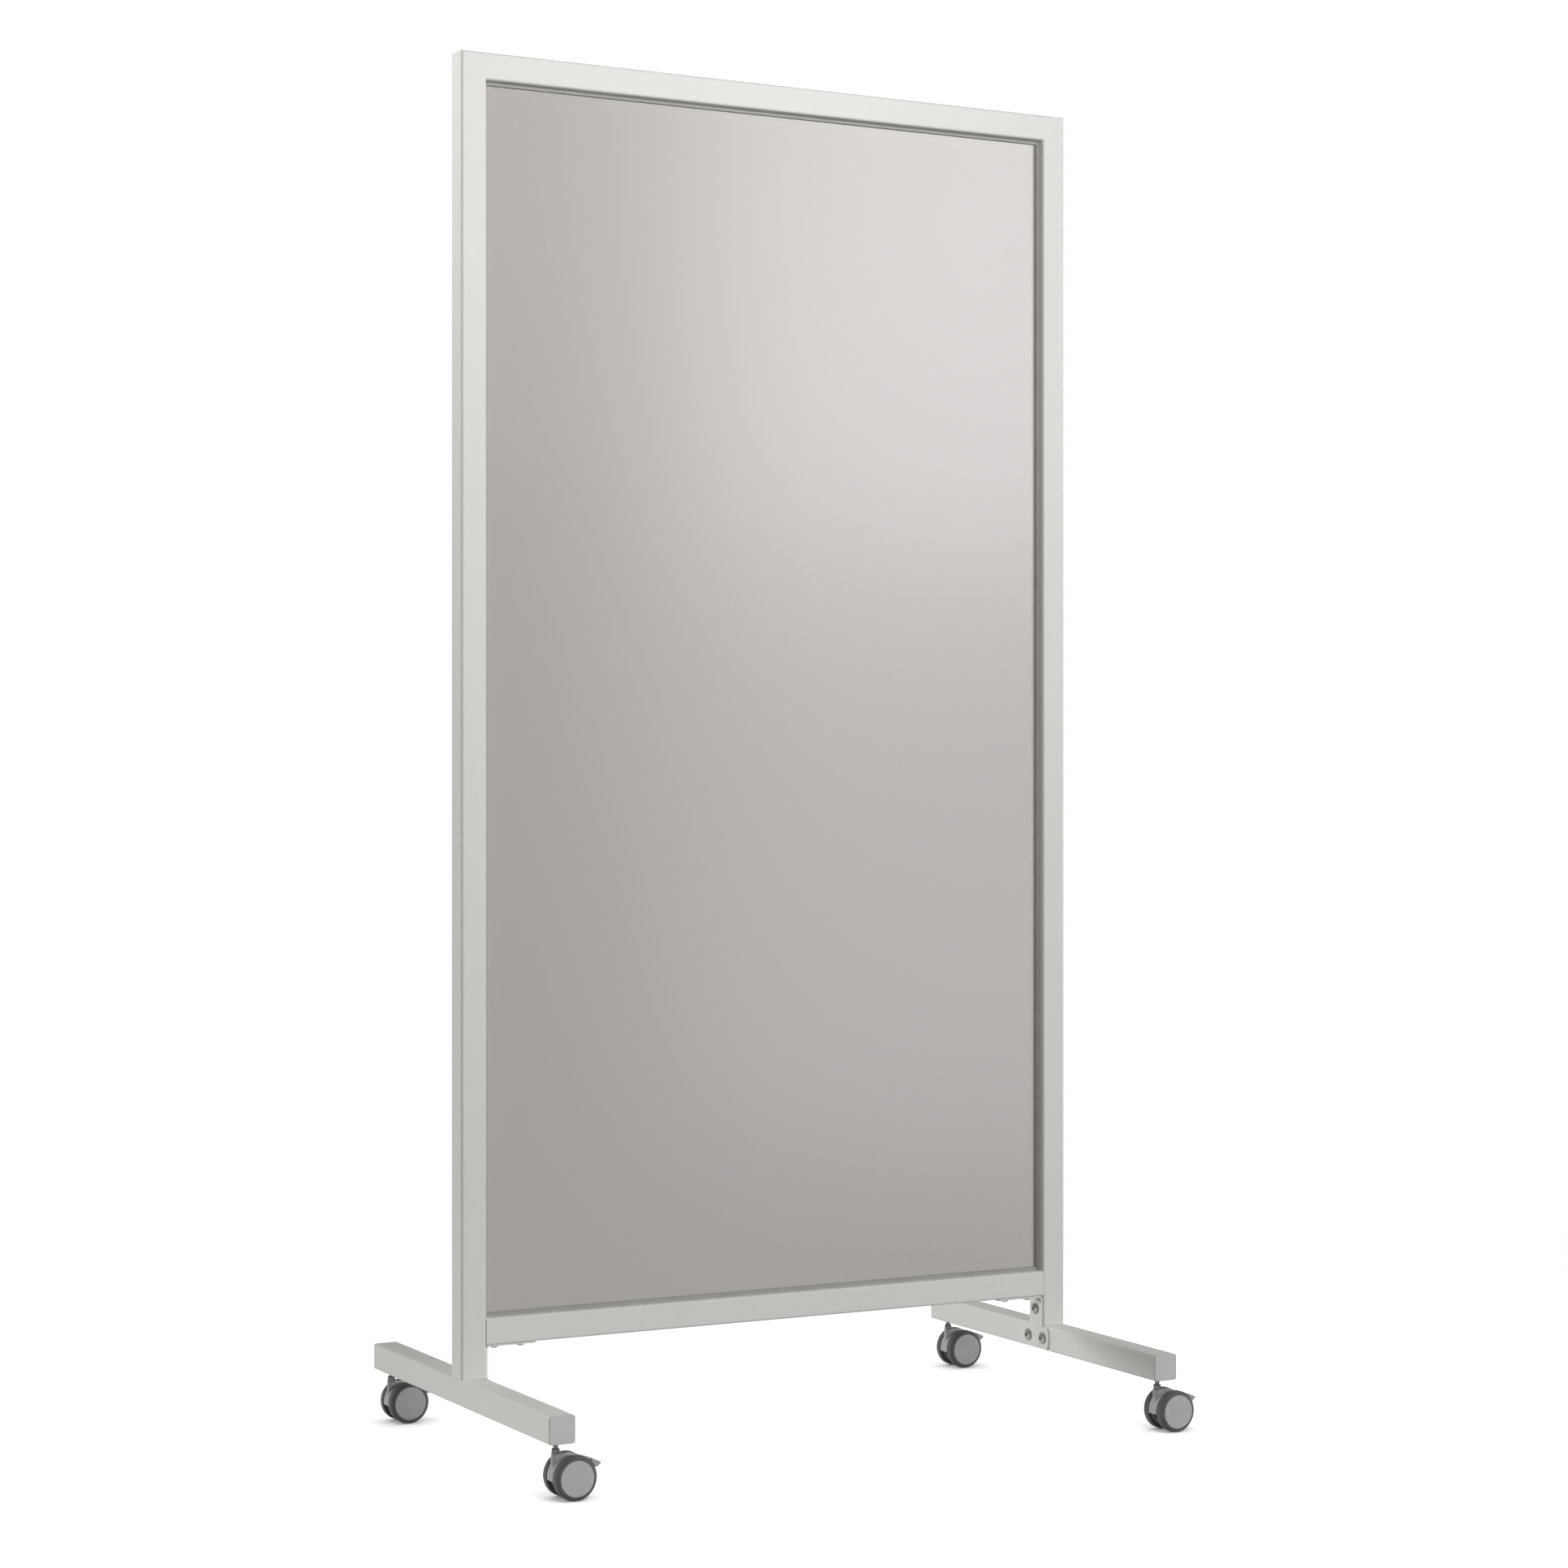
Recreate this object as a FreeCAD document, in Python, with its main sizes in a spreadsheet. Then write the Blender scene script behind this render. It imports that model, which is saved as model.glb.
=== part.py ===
"""Mobile glass whiteboard: a tall glass pane in a square-tube frame on two castered feet.

Millimetres. +X runs along the board to the right, -Y is the writing side, +Z is up.
The origin lies on the floor, midway between the four caster stems.
"""
import FreeCAD, Part
import math
import os
import Sketcher

Vector = FreeCAD.Vector
OVERCUT = 5.0
DOWN = (0, 0, -1)
HUB_RIBS = 6

# Driving dimensions: name, value, meaning
DIMENSIONS = [
    ("board_width", 1000.0, "outside width of the frame"),
    ("board_height", 1970.0, "floor to the top of the frame"),
    ("tube", 38.0, "outside size of the square tube"),
    ("tube_wall", 2.0, "wall of the square tube"),
    ("tube_corner", 3.8, "outside corner radius of the tube"),
    ("tube_inner_corner", 1.6, "inside corner radius of the tube"),
    ("rail_height", 160.0, "floor to the underside of the bottom rail"),
    ("foot_height", 77.0, "floor to the underside of the feet"),
    ("foot_length", 635.0, "length of a foot over its end caps"),
    ("cap_plate", 3.0, "thickness of an end cap outside the tube"),
    ("cap_plug", 11.0, "depth of an end cap inside the tube"),
    ("cap_wall", 2.0, "wall of the end cap's plug"),
    ("cap_round", 1.5, "rounding of the end cap's rim"),
    ("cap_clearance", 0.15, "gap between plug and tube"),
    ("glass_thickness", 6.0, "thickness of the glass"),
    ("glass_arris", 0.8, "ground bevel along the glass edges"),
    ("channel_width", 14.0, "outside width of the glazing channel"),
    ("channel_height", 5.0, "height of the glazing channel's legs"),
    ("channel_wall", 1.5, "wall of the glazing channel"),
    ("strip_base", 1.0, "rubber under the glass edge"),
    ("strip_lip", 0.5, "rubber standing proud of the channel"),
    ("bracket_plate", 2.5, "thickness of the bent bracket"),
    ("bracket_bend", 3.0, "inside radius of the bracket's bend"),
    ("bracket_neck", 32.0, "width of the bracket on the upright and rail"),
    ("bracket_base", 70.0, "length of the bracket along the foot"),
    ("bracket_inset", 2.0, "bracket edge to the foot's edges"),
    ("bracket_corner", 9.0, "corner radius of the bracket's base"),
    ("bracket_fillet", 4.0, "radius between neck and base"),
    ("flange_length", 78.0, "bracket flange under the rail"),
    ("flange_corner", 6.0, "corner radius at the flange's end"),
    ("flange_screw_inset", 19.0, "upright to the first flange screw"),
    ("screw_pitch", 40.0, "pitch of paired screws"),
    ("upright_screw_rise", 24.0, "foot top to the upright's screw"),
    ("thread", 8.0, "thread diameter of screws and caster stems"),
    ("thread_clearance", 0.05, "gap round a thread in its insert"),
    ("screw_length", 16.0, "length of a screw under its head"),
    ("screw_hole_clearance", 0.5, "gap round a screw in the bracket"),
    ("screw_flange", 18.0, "diameter of the flange under a screw head"),
    ("screw_flange_height", 1.4, "height of that flange"),
    ("screw_head", 14.0, "diameter of the domed head"),
    ("screw_head_height", 4.4, "height of the head with its flange"),
    ("screw_dome", 7.6, "radius of the head's dome"),
    ("hex_socket", 5.0, "hexagon socket across flats"),
    ("hex_depth", 2.6, "depth of the hexagon socket"),
    ("hex_rim", 1.1, "flat rim round the hexagon socket"),
    ("insert_body", 11.0, "diameter of a threaded insert"),
    ("insert_length", 20.0, "length of a threaded insert"),
    ("insert_bulge", 14.0, "diameter of the insert's clinched bulge"),
    ("insert_bulge_length", 4.0, "length of that bulge"),
    ("insert_clearance", 0.05, "gap round an insert in its hole"),
    ("stem_beyond_cap", 1.5, "end cap's plug to the stem's insert"),
    ("stem_shank", 7.5, "stem diameter inside the housing"),
    ("stem_fit", 0.05, "running gap round the shank"),
    ("stem_depth", 26.0, "shank length inside the housing"),
    ("stem_neck", 6.8, "stem diameter between collar and foot"),
    ("collar", 11.0, "diameter of the stem's collar"),
    ("collar_height", 6.8, "height of the stem's collar"),
    ("collar_round", 0.8, "rounding of the collar's top"),
    ("collar_gap", 0.2, "gap under the collar"),
    ("wheel_radius", 30.0, "radius of a wheel over its tyre"),
    ("wheel_width", 14.5, "width of a wheel at its disc"),
    ("wheel_gap", 0.5, "housing to wheel"),
    ("tyre_seat", 24.2, "radius at which the tyre sits on the hub"),
    ("tyre_seat_gap", 0.02, "gap between hub and tyre"),
    ("tyre_flat", 10.0, "width of the flat tread with its inner shoulder"),
    ("tyre_shoulder", 7.5, "radius of the tyre's outer shoulder"),
    ("tyre_inner_shoulder", 1.4, "radius of the tyre's inner shoulder"),
    ("hub_rim", 3.5, "thickness of the hub's rim under the tyre"),
    ("hub_web", 3.6, "thickness of the hub's outer disc"),
    ("hub_boss", 14.0, "diameter of the hub's boss"),
    ("rib_thickness", 1.8, "thickness of the ribs behind the disc"),
    ("rib_drop", 3.0, "hub's inner edge to its ribs"),
    ("disc_crown", 0.5, "crown of the outer disc"),
    ("disc_round", 0.6, "rounding of the disc's rim"),
    ("gate_mark", 2.0, "diameter of the mark at the disc's centre"),
    ("gate_mark_depth", 0.3, "depth of that mark"),
    ("axle", 6.0, "axle diameter"),
    ("axle_fit", 0.05, "running gap of a hub on the axle"),
    ("axle_reach", 10.0, "axle length inside a hub"),
    ("axle_end_gap", 0.4, "axle end to the bottom of the hub's bore"),
    ("caster_trail", 20.8, "stem axis to the axle"),
    ("housing_width", 19.6, "housing between the wheels"),
    ("housing_radius", 29.3, "radius of the hood about the axle"),
    ("housing_rear", 23.5, "radius of the housing behind the hood"),
    ("housing_skirt", 26.0, "floor to the housing's lower edge"),
    ("housing_boss", 16.0, "diameter of the boss round the axle"),
    ("housing_round", 1.2, "rounding of the hood's edges"),
    ("recess_wall", 2.6, "walls round the recesses in the housing's sides"),
    ("recess_roof", 3.0, "lever slot to the recesses below it"),
    ("recess_depth", 6.0, "depth of those recesses"),
    ("column", 12.6, "diameter of the column round the stem"),
    ("column_top", 61.2, "floor to the top of the column"),
    ("web_drop", 1.2, "column top to the web behind it"),
    ("web_flat", 8.0, "stem axis to where the web slopes"),
    ("web_end", 18.0, "stem axis to the end of the web"),
    ("hood_end", 34.5, "stem axis to the end of the hood"),
    ("hood_roof", 2.3, "roof over the lever slot"),
    ("slot_width", 12.4, "width of the lever slot"),
    ("slot_front", 25.5, "stem axis to the front of the lever slot"),
    ("slot_floor", 45.0, "floor to the bottom of the lever slot"),
    ("pivot_x", 30.5, "stem axis to the lever's pivot"),
    ("pivot_z", 51.0, "floor to the lever's pivot"),
    ("pivot_pin", 4.5, "diameter of the lever's pivot pins"),
    ("pivot_fit", 0.05, "running gap of the pivot pins"),
    ("pivot_reach", 2.3, "pivot pin length inside a cheek"),
    ("pivot_end_gap", 0.2, "pin end to the bottom of its hole"),
    ("lever_clearance", 0.3, "lever arm to the slot's sides"),
    ("lever_eye", 3.6, "radius of the arm round the pivot"),
    ("arm_above", 1.5, "top of the arm above the pivot"),
    ("arm_below", 3.3, "underside of the arm below the pivot"),
    ("arm_end", 41.0, "stem axis to the end of the arm"),
    ("press_angle", 8.0, "travel of the lever in degrees"),
    ("shoe_gap", 0.3, "shoe to tyre with the lever pressed"),
    ("shoe_thickness", 2.0, "thickness of the brake shoe"),
    ("shoe_width", 28.0, "brake shoe across both tyres"),
    ("shoe_start", 46.5, "stem axis to the start of the shoe"),
    ("shoe_end", 51.5, "stem axis to the end of the shoe"),
    ("pedal_gap", 0.9, "hood to pedal"),
    ("pedal_root", 1.2, "slant of the pedal's root"),
    ("pedal_clearance", 1.5, "housing to the pedal above it when pressed"),
    ("pedal_top", 55.8, "floor to the top of the pedal's root"),
    ("pedal_curve", 100.0, "radius of the pedal's upper face"),
    ("pedal_reach", 65.0, "stem axis to the pedal's tip"),
    ("pedal_tip", 44.5, "floor to the pedal's tip"),
    ("pedal_lip_reach", 59.5, "stem axis to the pedal's lower lip"),
    ("pedal_lip", 39.8, "floor to the pedal's lower lip"),
    ("pedal_heel", 40.5, "floor to the pedal's heel"),
    ("pedal_width", 19.0, "width of the pedal"),
    ("pedal_nose", 6.0, "corner radius of the pedal's tip"),
    ("pedal_round", 0.8, "rounding of the pedal's upper edges"),
]

doc = FreeCAD.newDocument("mobile_glass_whiteboard")
sheet = doc.addObject("Spreadsheet::Sheet", "Sizes")
for row, (name, value, meaning) in enumerate(DIMENSIONS, start=1):
    sheet.set(f"A{row}", meaning)
    sheet.set(f"B{row}", str(value))
    sheet.setAlias(f"B{row}", name)
doc.recompute()


class Size:
    """A number that carries both its value and the sheet expression that gives it."""

    def __init__(self, value, text):
        self.value = value
        self.text = text

    def __add__(self, other):
        other = as_size(other)
        return Size(self.value + other.value, f"({self.text} + {other.text})")

    def __sub__(self, other):
        other = as_size(other)
        return Size(self.value - other.value, f"({self.text} - {other.text})")

    def __mul__(self, other):
        other = as_size(other)
        return Size(self.value * other.value, f"({self.text} * {other.text})")

    def __truediv__(self, other):
        other = as_size(other)
        return Size(self.value / other.value, f"({self.text} / {other.text})")

    def __neg__(self):
        return self * -1

    def __radd__(self, other):
        return as_size(other) + self

    def __rsub__(self, other):
        return as_size(other) - self

    def __rmul__(self, other):
        return self * other


def as_size(number):
    return number if isinstance(number, Size) else Size(float(number), f"({float(number)})")


def root(size):
    return Size(math.sqrt(size.value), f"sqrt({size.text})")


def sine(degrees):
    return Size(math.sin(math.radians(degrees.value)), f"sin({degrees.text})")


def cosine(degrees):
    return Size(math.cos(math.radians(degrees.value)), f"cos({degrees.text})")


def leg(hypotenuse, other_leg):
    """The remaining side of a right triangle."""
    return root(hypotenuse * hypotenuse - other_leg * other_leg)


class Sheet:
    """Reads a size from the spreadsheet by its name."""

    def __getattr__(self, name):
        return Size(float(sheet.get(name)), f"Sizes.{name}")


size = Sheet()
nodes = []


# Placing bodies and binding their sizes

def bind(thing, **properties):
    for name, amount in properties.items():
        thing.setExpression(name.replace("__", "."), as_size(amount).text)


def place(thing, x=0, y=0, z=0, axis=(0, 0, 1), angle=0.0):
    base = Vector(as_size(x).value, as_size(y).value, as_size(z).value)
    thing.Placement = FreeCAD.Placement(base, FreeCAD.Rotation(Vector(*axis), angle))
    bind(thing, Placement__Base__x=x, Placement__Base__y=y, Placement__Base__z=z)


def new_body(label, keep=True, **where):
    body = doc.addObject("PartDesign::Body", label)
    body.Label = label
    place(body, **where)
    if keep:
        nodes.append(body)
    return body


def new_sketch(body, role, lift=0):
    """A sketch on the body's own origin plane, lifted along that plane's normal."""
    origin_plane = next(plane for plane in body.Origin.OriginFeatures if plane.Role == role)
    sketch = body.newObject("Sketcher::SketchObject", f"{body.Label}_sketch")
    sketch.AttachmentSupport = [(origin_plane, "")]
    sketch.MapMode = "FlatFace"
    if isinstance(lift, Size):
        bind(sketch, AttachmentOffset__Base__z=lift)
    return sketch


# Drawing in sketches

def pin_point(sketch, geometry, end, x, y):
    """Fixes one point of a sketch by its distances from the sketch's origin."""
    for kind, amount in (("DistanceX", as_size(x)), ("DistanceY", as_size(y))):
        if amount.value == 0.0 and not amount.text.count("Sizes"):
            axis = -2 if kind == "DistanceX" else -1
            sketch.addConstraint(Sketcher.Constraint("PointOnObject", geometry, end, axis))
            continue
        index = sketch.addConstraint(Sketcher.Constraint(kind, -1, 1, geometry, end, amount.value))
        sketch.setExpression(f"Constraints[{index}]", amount.text)


def arc_between(start, end, radius, turn):
    """The short arc from start to end, turning left for +1 and right for -1."""
    chord = end - start
    to_centre = math.sqrt(max(radius ** 2 - (chord.Length / 2) ** 2, 0.0))
    side = Vector(-chord.y, chord.x, 0).normalize() * (turn * to_centre)
    centre = (start + end) * 0.5 + side
    first, last = (start, end) if turn > 0 else (end, start)
    angles = [math.atan2(point.y - centre.y, point.x - centre.x) for point in (first, last)]
    circle = Part.Circle(centre, Vector(0, 0, 1), radius)
    return Part.ArcOfCircle(circle, angles[0], angles[1])


def outline(sketch, corners):
    """A closed outline through (x, y) corners. A corner given as (x, y, radius, turn)
    leaves on an arc of that radius, to the left for +1 and to the right for -1."""
    first = sketch.GeometryCount
    count = len(corners)
    points = [Vector(as_size(c[0]).value, as_size(c[1]).value, 0) for c in corners]
    ends = []
    for i, corner in enumerate(corners):
        start, end = points[i], points[(i + 1) % count]
        if len(corner) == 2:
            sketch.addGeometry(Part.LineSegment(start, end), False)
            ends.append((1, 2))
        else:
            radius, turn = as_size(corner[2]), corner[3]
            sketch.addGeometry(arc_between(start, end, radius.value, turn), False)
            ends.append((1, 2) if turn > 0 else (2, 1))
    for i, corner in enumerate(corners):
        following = (i + 1) % count
        joint = (first + i, ends[i][1], first + following, ends[following][0])
        sketch.addConstraint(Sketcher.Constraint("Coincident", *joint))
        pin_point(sketch, first + i, ends[i][0], corner[0], corner[1])
        if len(corner) > 2:
            radius = as_size(corner[2])
            index = sketch.addConstraint(Sketcher.Constraint("Radius", first + i, radius.value))
            sketch.setExpression(f"Constraints[{index}]", radius.text)


def rectangle(sketch, left, right, low, high):
    outline(sketch, [(left, low), (right, low), (right, high), (left, high)])


def rounded_rectangle(sketch, left, right, low, high, radius):
    outline(sketch, [
        (left + radius, low),
        (right - radius, low, radius, 1),
        (right, low + radius),
        (right, high - radius, radius, 1),
        (right - radius, high),
        (left + radius, high, radius, 1),
        (left, high - radius),
        (left, low + radius, radius, 1),
    ])


def ring(sketch, radius, x=0, y=0):
    radius = as_size(radius)
    centre = Vector(as_size(x).value, as_size(y).value, 0)
    index = sketch.addGeometry(Part.Circle(centre, Vector(0, 0, 1), radius.value), False)
    pin_point(sketch, index, 3, x, y)
    limit = sketch.addConstraint(Sketcher.Constraint("Radius", index, radius.value))
    sketch.setExpression(f"Constraints[{limit}]", radius.text)


# Features

def pad(body, sketch, length, symmetric=False):
    feature = body.newObject("PartDesign::Pad", f"{body.Label}_pad")
    feature.Profile = sketch
    feature.SideType = "Symmetric" if symmetric else "One side"
    bind(feature, Length=length)
    doc.recompute()
    return feature


def cut(body, sketch, length, symmetric=False, forward=False):
    """A pocket, against the sketch's normal unless forward, that has to remove something."""
    before = body.Shape.Volume
    feature = body.newObject("PartDesign::Pocket", f"{body.Label}_pocket")
    feature.Profile = sketch
    feature.SideType = "Symmetric" if symmetric else "One side"
    feature.Reversed = forward
    bind(feature, Length=length)
    doc.recompute()
    if not body.Shape.Volume < before:
        raise RuntimeError(f"{feature.Label} cuts nothing")
    return feature


def revolve(body, sketch):
    """Turns a half profile about the sketch's vertical axis."""
    feature = body.newObject("PartDesign::Revolution", f"{body.Label}_turned")
    feature.Profile = sketch
    feature.ReferenceAxis = (sketch, ["V_Axis"])
    feature.Angle = 360.0
    doc.recompute()
    return feature


def dress(body, kind, amount, chosen):
    """A fillet or chamfer on the edges of the body's tip that chosen(edge) accepts."""
    base = body.Tip
    edges = enumerate(base.Shape.Edges, start=1)
    names = [f"Edge{number}" for number, edge in edges if chosen(edge)]
    feature = body.newObject(f"PartDesign::{kind}", f"{body.Label}_{kind.lower()}")
    feature.Base = (base, names)
    bind(feature, **{"Radius" if kind == "Fillet" else "Size": amount})
    doc.recompute()
    return feature


def pattern_round(body, feature, count):
    """Repeats a feature evenly about the body's own Z axis."""
    axis = next(line for line in body.Origin.OriginFeatures if line.Role == "Z_Axis")
    pattern = body.newObject("PartDesign::PolarPattern", f"{body.Label}_pattern")
    pattern.Originals = [feature]
    pattern.Axis = (axis, [""])
    pattern.Occurrences = count
    body.Tip = pattern
    doc.recompute()


def near(a, b):
    return abs(a - as_size(b).value) < 1e-4


def lies_at(edge, **coordinates):
    """True where every point of the edge has the given x, y or z."""
    box = edge.BoundBox
    for axis, amount in coordinates.items():
        low = getattr(box, f"{axis.upper()}Min")
        high = getattr(box, f"{axis.upper()}Max")
        if not (near(low, amount) and near(high, amount)):
            return False
    return True


def group(label, template, frames):
    """One node of separate, identical solids: links to the template, gathered in a compound."""
    links = []
    for x, y, z, facing in frames:
        link = doc.addObject("App::Link", f"{label}_link")
        link.LinkedObject = template
        turn = FreeCAD.Rotation(Vector(0, 0, 1), Vector(*facing))
        place(link, x, y, z, axis=tuple(turn.Axis), angle=math.degrees(turn.Angle))
        links.append(link)
    compound = doc.addObject("Part::Compound", label)
    compound.Label = label
    compound.Links = links
    nodes.append(compound)


# Shared places

half_width = size.board_width / 2
half_tube = size.tube / 2
inner_face = half_width - size.tube
tube_line = half_width - half_tube
foot_top = size.foot_height + size.tube
foot_middle = size.foot_height + half_tube
rail_top = size.rail_height + size.tube
opening_top = size.board_height - size.tube
opening_height = opening_top - rail_top
upright_screw_height = foot_top + size.upright_screw_rise
flange_screws = [size.flange_screw_inset, size.flange_screw_inset + size.screw_pitch]
foot_screws = [-size.screw_pitch / 2, size.screw_pitch / 2]
insert_hole = size.insert_body / 2 + size.insert_clearance
cap_depth = size.cap_plate + size.cap_plug
stem_line = size.foot_length / 2 - cap_depth - size.stem_beyond_cap - size.insert_bulge / 2


# Square-tube members: each tube runs along its own +Z

def tube_member(label, length, **where):
    body = new_body(label, **where)
    sketch = new_sketch(body, "XY_Plane")
    inner = half_tube - size.tube_wall
    rounded_rectangle(sketch, -half_tube, half_tube, -half_tube, half_tube, size.tube_corner)
    rounded_rectangle(sketch, -inner, inner, -inner, inner, size.tube_inner_corner)
    pad(body, sketch, length)
    return body


def mitre(body, corner, direction):
    """Cuts the tube's end at 45 degrees. The long side is at -X and ends at corner."""
    sketch = new_sketch(body, "XZ_Plane")
    outline(sketch, [
        (-half_tube - OVERCUT, corner + OVERCUT * direction),
        (half_tube + OVERCUT, corner - (size.tube + OVERCUT) * direction),
        (half_tube + OVERCUT, corner + OVERCUT * direction),
    ])
    cut(body, sketch, size.tube + OVERCUT, symmetric=True)


def side_holes(body, radius, heights):
    """Holes through the tube's +X wall alone."""
    sketch = new_sketch(body, "YZ_Plane")
    for height in heights:
        ring(sketch, radius, 0, height)
    cut(body, sketch, half_tube + OVERCUT, forward=True)


def make_upright(label, side):
    length = size.board_height - foot_top
    turn = 0.0 if side < 0 else 180.0
    body = tube_member(label, length, x=tube_line * side, z=foot_top, angle=turn)
    mitre(body, length, 1)
    side_holes(body, insert_hole, [size.upright_screw_rise])


def make_top_rail():
    length = size.board_width
    height = size.board_height - half_tube
    body = tube_member("top_rail", length, x=-half_width, z=height, axis=(0, 1, 0), angle=90.0)
    mitre(body, length, 1)
    mitre(body, as_size(0), -1)


def make_bottom_rail():
    length = inner_face * 2
    height = size.rail_height + half_tube
    body = tube_member("bottom_rail", length, x=-inner_face, z=height, axis=(0, 1, 0), angle=90.0)
    side_holes(body, insert_hole, flange_screws + [length - inset for inset in flange_screws])


def lying(side):
    """The turn that lays a member's +Z along +Y, or along -Y with its +X to the left."""
    laid = FreeCAD.Rotation(Vector(1, 0, 0), -90.0)
    turned = FreeCAD.Rotation(Vector(0, 0, 1), 0.0 if side < 0 else 180.0)
    return turned.multiply(laid)


def make_foot(label, side):
    length = size.foot_length - size.cap_plate * 2
    turn = lying(side)
    start = size.foot_length / 2 - size.cap_plate
    body = tube_member(label, length, x=tube_line * side, y=start * side, z=foot_middle,
                       axis=tuple(turn.Axis), angle=math.degrees(turn.Angle))
    middle = length / 2
    side_holes(body, insert_hole, [middle + along for along in foot_screws])
    underside = new_sketch(body, "XZ_Plane")
    for end in (-1, 1):
        ring(underside, insert_hole, 0, middle + stem_line * end)
    cut(body, underside, half_tube + OVERCUT)


def make_foot_cap(label, side, end):
    """A moulded cap with a hollow plug, seen from its outside face at z = 0."""
    turn = lying(end)
    body = new_body(label, x=tube_line * side, y=size.foot_length / 2 * end, z=foot_middle,
                    axis=tuple(turn.Axis), angle=math.degrees(turn.Angle))
    plug = half_tube - size.tube_wall - size.cap_clearance
    hollow = plug - size.cap_wall
    plug_corner = size.tube_inner_corner + size.cap_clearance
    plate = new_sketch(body, "XY_Plane")
    rounded_rectangle(plate, -half_tube, half_tube, -half_tube, half_tube, size.tube_corner)
    pad(body, plate, size.cap_plate)
    dress(body, "Fillet", size.cap_round, lambda edge: lies_at(edge, z=0))
    walls = new_sketch(body, "XY_Plane", lift=size.cap_plate)
    rounded_rectangle(walls, -plug, plug, -plug, plug, plug_corner)
    rectangle(walls, -hollow, hollow, -hollow, hollow)
    pad(body, walls, size.cap_plug)


# Glazing: channels on the frame's inner faces, rubber strips in them, the pane in the strips

def u_section(sketch, back, front, half, wall_base, wall_side):
    outline(sketch, [
        (back, -half),
        (front, -half),
        (front, -half + wall_side),
        (back + wall_base, -half + wall_side),
        (back + wall_base, half - wall_side),
        (front, half - wall_side),
        (front, half),
        (back, half),
    ])


def make_channel(label, length, **where):
    body = new_body(label, **where)
    sketch = new_sketch(body, "XY_Plane")
    half = size.channel_width / 2
    u_section(sketch, as_size(0), size.channel_height, half, size.channel_wall, size.channel_wall)
    pad(body, sketch, length)


def make_strip(label, length, **where):
    body = new_body(label, **where)
    sketch = new_sketch(body, "XY_Plane")
    half = size.channel_width / 2 - size.channel_wall
    front = size.channel_height + size.strip_lip
    side_wall = half - size.glass_thickness / 2
    u_section(sketch, size.channel_wall, front, half, size.strip_base, side_wall)
    pad(body, sketch, length)


def make_glazing():
    run = (inner_face - size.channel_height - size.strip_lip) * 2
    for make, part in ((make_channel, "channel"), (make_strip, "strip")):
        make(f"glazing_{part}_left", opening_height, x=-inner_face, z=rail_top)
        make(f"glazing_{part}_right", opening_height, x=inner_face, z=rail_top, angle=180.0)
        make(f"glazing_{part}_bottom", run, x=run / 2, z=rail_top, axis=(0, 1, 0), angle=-90.0)
        make(f"glazing_{part}_top", run, x=-run / 2, z=opening_top, axis=(0, 1, 0), angle=90.0)


def make_glass():
    body = new_body("glass_pane")
    edge = size.channel_wall + size.strip_base
    half = inner_face - edge
    sketch = new_sketch(body, "XZ_Plane")
    rectangle(sketch, -half, half, rail_top + edge, opening_top - edge)
    pad(body, sketch, size.glass_thickness, symmetric=True)
    face = size.glass_thickness / 2
    dress(body, "Chamfer", size.glass_arris,
          lambda edge: lies_at(edge, y=face) or lies_at(edge, y=-face))


# Brackets: origin on the upright's inner face at the rail's underside, +X towards the board

def make_bracket(label, side):
    turn = 0.0 if side < 0 else 180.0
    body = new_body(label, x=inner_face * side, z=size.rail_height, angle=turn)
    plate = size.bracket_plate
    outer_bend = size.bracket_bend + plate
    neck = size.bracket_neck / 2
    base_low = size.foot_height + size.bracket_inset - size.rail_height
    base_high = foot_top - size.bracket_inset - size.rail_height
    foot_line = foot_middle - size.rail_height
    bent = new_sketch(body, "XZ_Plane")
    outline(bent, [
        (size.flange_length, 0),
        (outer_bend, 0, outer_bend, 1),
        (0, -outer_bend),
        (0, foot_line),
        (plate, foot_line),
        (plate, -outer_bend, size.bracket_bend, -1),
        (outer_bend, -plate),
        (size.flange_length, -plate),
    ])
    pad(body, bent, size.bracket_neck, symmetric=True)
    base = new_sketch(body, "YZ_Plane")
    half = size.bracket_base / 2
    rounded_rectangle(base, -half, half, base_low, base_high, size.bracket_corner)
    pad(body, base, plate)
    for across in (-neck, neck):
        dress(body, "Fillet", size.bracket_fillet, lambda edge: lies_at(edge, y=across, z=base_high))
    for across in (-neck, neck):
        dress(body, "Fillet", size.flange_corner,
              lambda edge: lies_at(edge, x=size.flange_length, y=across))
    hole = size.thread / 2 + size.screw_hole_clearance
    upright_and_foot = new_sketch(body, "YZ_Plane")
    for across in foot_screws:
        ring(upright_and_foot, hole, across, foot_line)
    ring(upright_and_foot, hole, 0, upright_screw_height - size.rail_height)
    cut(body, upright_and_foot, plate + OVERCUT, forward=True)
    flange = new_sketch(body, "XY_Plane")
    for inset in flange_screws:
        ring(flange, hole, inset, 0)
    cut(body, flange, plate + OVERCUT)


# Screws and threaded inserts: +Z points out of the head, z = 0 is the seat

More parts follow.
